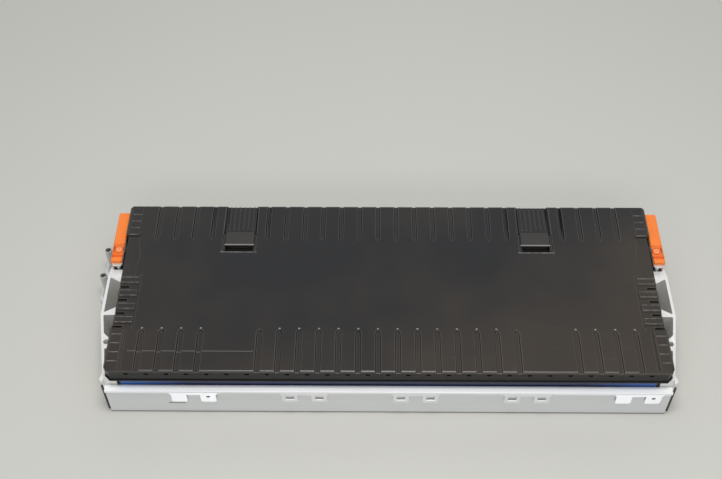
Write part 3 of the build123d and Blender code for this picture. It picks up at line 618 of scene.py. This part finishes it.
COMB_FIRST, COMB_PITCH, COMB_HALF_BAR = 8.6 * MM, 24.2 * MM, 4.7 * MM
COMB_X, COMB_Y = 388.0 * MM, -27.8 * MM
FRONT_LAND_FIRST, FRONT_LAND_PITCH, FRONT_LAND_Y = -90.0 * MM, 15.4 * MM, -106.0 * MM
BACK_LAND_FIRST, BACK_LAND_PITCH, BACK_LAND_Y = 138.2 * MM, 13.7 * MM, 118.0 * MM
LAND_X = 395.0 * MM
LAND_HALF_EDGE = 0.75 * MM
BAY_X, BAY_WALL_Y = 229.6 * MM, 63.1 * MM
FLUTE_FIRST, FLUTE_PITCH, FLUTE_TIP_Y = 14.35 * MM, 28.7 * MM, -79.6 * MM


def moulded_black(name, dark, pale, base_roughness):
    """Black moulding with slow bowing, fine grain, dust and faint rub marks, paler towards its
    ends and front: a random tone with painted reflection.
    """
    plastic = Finish(name, Specular_IOR_Level=0.32)
    # Painted reflection: the plastic turns paler and browner towards the ends and the front,
    # over a random cloudy tone.
    tone_and_reflection = (plastic.noise(plastic.place, 4.5, 3.0, 0.5)
            + abs(plastic.axis("X") + 0.02) * 0.28 - plastic.axis("Y") * 0.8)
    tone_and_reflection_mask = plastic.ramp(tone_and_reflection, (0.42, 0.0), (0.86, 1.0))
    bow = plastic.noise(plastic.stretched(26, 9, 9), 1.0, 2.0)
    skin = plastic.noise(plastic.place, 1700.0, 2.0)
    speck = plastic.noise(plastic.place, 900.0, 3.0, 0.7)
    dust = plastic.ramp(speck, (0.70, 0.0), (0.78, 1.0))
    wiped = plastic.noise(plastic.stretched(14, 620, 300), 1.0, 3.0, 0.7)
    wiped = plastic.ramp(wiped, (0.66, 0.0), (0.74, 1.0))
    wiped = wiped * plastic.ramp(tone_and_reflection_mask, (0.45, 0.0), (0.7, 1.0))
    shade = plastic.mix(dust * 0.25 + wiped * 0.20, plastic.mix(tone_and_reflection_mask, dark, pale), DUST)
    roughness = base_roughness + 0.16 * tone_and_reflection_mask + 0.12 * dust + 0.08 * wiped
    return plastic, shade, roughness, bow * 1.0 + skin * 0.03


black, black_shade, black_roughness, black_relief = moulded_black(
    "cover_plastic", BLACK_DARK, BLACK_PALE, 0.22)
across, along, height = (black.axis(letter) for letter in "XYZ")
from_middle = abs(across)

on_line = band(along, SCORE_Y, SCORE_HALF) * (across > SCORE_FROM) * (across < SCORE_TO)
black_shade = black.mix(on_line * 0.55, black_shade, SCORED)

# Painted highlights: pale lines on the comb bars, the corner lands, the bays' front walls and
# the flute tips.
on_land = band(from_middle, LAND_X, 7 * MM)
comb_highlight = (band(black.off_grid(along - COMB_FIRST, COMB_PITCH), COMB_HALF_BAR, 0.55 * MM)
            * band(along, COMB_Y, 42.6 * MM) * band(from_middle, COMB_X, 13 * MM))
front_land_highlight = ((black.off_grid(along - FRONT_LAND_FIRST, FRONT_LAND_PITCH) < LAND_HALF_EDGE)
             * band(along, FRONT_LAND_Y, 33 * MM) * on_land)
back_land_highlight = ((black.off_grid(along - BACK_LAND_FIRST, BACK_LAND_PITCH) < LAND_HALF_EDGE)
            * band(along, BACK_LAND_Y, 24 * MM) * on_land)
bay_wall_highlight = band(along, BAY_WALL_Y, 0.9 * MM) * band(from_middle, BAY_X, 27.5 * MM)
fluted = (from_middle < 165 * MM) + band(from_middle, 316 * MM, 50 * MM)
flute_tip_glint = ((black.off_grid(across - FLUTE_FIRST, FLUTE_PITCH) < 1.3 * MM)
           * band(along, FLUTE_TIP_Y, 1.0 * MM) * fluted)
patchy = black.ramp(black.noise(black.place, 150.0, 2.0), (0.38, 0.35), (0.62, 1.0))
painted_highlights = comb_highlight * 0.75 + front_land_highlight * 0.75 + back_land_highlight * 0.6 + bay_wall_highlight * 1.5 + flute_tip_glint * 2.2
painted_highlights = painted_highlights * patchy * (height > RIDGE_FLOOR) * 0.72
black_shade = black.mix(painted_highlights, black_shade, HIGHLIGHT_PALE)
# Painted shade: the upright skirt below SKIRT_TOP is darker than the top.
black_shade = black.mix((height < SKIRT_TOP) * 0.85, black_shade, SKIRT_SHADE_BLACK)
black.feed(Base_Color=black_shade, Roughness=black_roughness,
           Normal=black.bump(black_relief, 0.0009, 0.35))

# Painted highlight: the rounded edges get a paler, glossier copy of the black.
edge_black, edge_shade, edge_roughness, _ = moulded_black(
    "edge_highlight_plastic", EDGE_DARK, EDGE_PALE, 0.26)
edge_black.shader.inputs["Specular IOR Level"].default_value = 0.85
edge_black.feed(Base_Color=edge_shade, Roughness=edge_roughness)
cover = softened("top_cover", "moulded_cover", COVER_ROUND, 3, ROUNDED_ABOVE)
added(cover, black, "cover_plastic", "top_cover")
cover.data.materials.append(edge_black.material)
cover.modifiers["rounded edges"].material = 1

# ---- connector flaps ----
# A loose black flap lies over each header and stops short of the bay's front
# wall. Its front lip is a strip of pale plastic: painted highlight.
FLAP_DARK = (0.030, 0.028, 0.026)
FLAP_PALE = (0.055, 0.048, 0.040)
FLAP_ROUND = 0.5 * MM
LIP_HIGHLIGHT_DARK = (0.22, 0.205, 0.19)
LIP_HIGHLIGHT_PALE = (0.30, 0.28, 0.26)
LIP_LOW = Vector((-23.2, 78.3, 100.6)) * MM
LIP_HIGH = Vector((23.2, 80.3, 102.3)) * MM
FLAPS = (("connector_flap_left", "left_flap"), ("connector_flap_right", "right_flap"))

flap_black, flap_shade, flap_roughness, flap_relief = moulded_black(
    "flap_plastic", FLAP_DARK, FLAP_PALE, 0.36)
flap_black.feed(Base_Color=flap_shade, Roughness=flap_roughness,
                Normal=flap_black.bump(flap_relief, 0.0006, 0.3))
# Painted highlight: the lip strip's plastic is pale.
lip_highlight_finish, lip_shade, lip_roughness, _ = moulded_black("lip_highlight_plastic", LIP_HIGHLIGHT_DARK, LIP_HIGHLIGHT_PALE, 0.30)
lip_highlight_finish.feed(Base_Color=lip_shade, Roughness=lip_roughness)

for flap, name in FLAPS:
    added(softened(flap, name, FLAP_ROUND, 3), flap_black, "cover_plastic", flap)
for flap, name in FLAPS:
    low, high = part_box(flap)
    middle = Vector(((low.x + high.x) / 2, 0.0, 0.0))
    lip = strip(name + "_lip", middle + LIP_LOW, middle + LIP_HIGH, FLAP_ROUND, 3)
    added(lip, lip_highlight_finish, "cover_plastic")

# ---- tab rail ----
# A folded strip of zinc-plated steel lies on the front ledge and hangs down in
# pairs of tabs, the middle pairs pierced by a window with a turned-out lip. All
# hang upright: a tilted normal alone brightens the tabs of the outer pairs.
RAIL_TINT = (0.97, 0.97, 0.97)
RAIL_ROUND = 1.0 * MM
LEDGE_Z = 58.0 * MM
OUTER_X = 240.0 * MM
TILT_FROM = 60.0 * MM
TILT = 0.95

rail_metal = rolled_aluminium("rail_metal", RAIL_TINT, (12, 300, 300), 0.34, 0.45)
rail_z = rail_metal.axis("Z")
outer_tab = (abs(rail_metal.axis("X")) > OUTER_X) * (rail_z < LEDGE_Z)
rail_metal.feed(Metallic=0.45 - 0.40 * (rail_z > LEDGE_Z) + 0.45 * outer_tab,
                Normal=rail_metal.bump((TILT_FROM - rail_z) * TILT * outer_tab, 1.0))
added(softened("tab_rail_front", "tab_strip", RAIL_ROUND, 4), rail_metal, "zinc_steel",
      "tab_rail_front")

# ---- studio ----
# The module lies on a plain pale table in an even pale room, under a broad
# soft light behind it, two above it and a low one in front.
TABLE = (0.545, 0.535, 0.49)
TABLE_HALF = 9.0
ROOM_TINT = (0.93, 0.96, 1.0, 1.0)
ROOM_LEVEL = 0.5


def plain_table():
    """Matt pale table top that keeps the module's shadow."""
    top = bmesh.new()
    bmesh.ops.create_grid(top, x_segments=1, y_segments=1, size=TABLE_HALF)
    table = as_object(top, "table_top")
    look = Finish("table_paint", Roughness=0.62)
    darker = tuple(0.97 * level for level in TABLE)
    look.feed(Base_Color=look.mix(look.noise(look.place, 2.0, 2.0), darker, TABLE))
    table.data.materials.append(look.material)


def soft_box(name, place, aim, width, height, power):
    """Rectangular soft light that faces a point."""
    lamp = bpy.data.lights.new(name, "AREA")
    lamp.shape = "RECTANGLE"
    lamp.size = width
    lamp.size_y = height
    lamp.energy = power
    box = bpy.data.objects.new(name, lamp)
    box.location = place
    box.rotation_euler = (Vector(aim) - Vector(place)).to_track_quat("-Z", "Y").to_euler()
    bpy.context.scene.collection.objects.link(box)


plain_table()
soft_box("back_soft_box", (0.1, 1.6, 1.9), (0, 0, 0), 3.2, 1.4, 8.0)
soft_box("top_soft_box", (0.0, -0.1, 2.3), (0, 0, 0), 2.2, 1.5, 6.0)
soft_box("ceiling_lamp", (0.0, -0.35, 2.1), (0, 0, 0), 0.6, 0.45, 18.0)
soft_box("front_fill", (0.1, -1.9, 1.5), (0, -0.15, 0), 2.4, 0.5, 14.0)

room = bpy.data.worlds.new("pale_room")
room.use_nodes = True
backdrop = room.node_tree.nodes["Background"]
backdrop.inputs["Color"].default_value = ROOM_TINT
backdrop.inputs["Strength"].default_value = ROOM_LEVEL
bpy.context.scene.world = room
bpy.context.scene.view_settings.view_transform = "Standard"

LENS = 53.77
SENSOR = 36.0
EYE = (-0.022996, -0.972994, 1.402532)
YAW = radians(-0.95448)
PITCH = radians(50.7321)
ROLL = radians(0.5560)

camera_data = bpy.data.cameras.new("camera")
camera_data.lens = LENS
camera_data.sensor_width = SENSOR
camera = bpy.data.objects.new("camera", camera_data)
camera.matrix_world = (Matrix.Translation(EYE) @ Matrix.Rotation(-YAW, 4, "Z")
                       @ Matrix.Rotation(radians(90) - PITCH, 4, "X")
                       @ Matrix.Rotation(-ROLL, 4, "Z"))
bpy.context.scene.collection.objects.link(camera)
bpy.context.scene.camera = camera
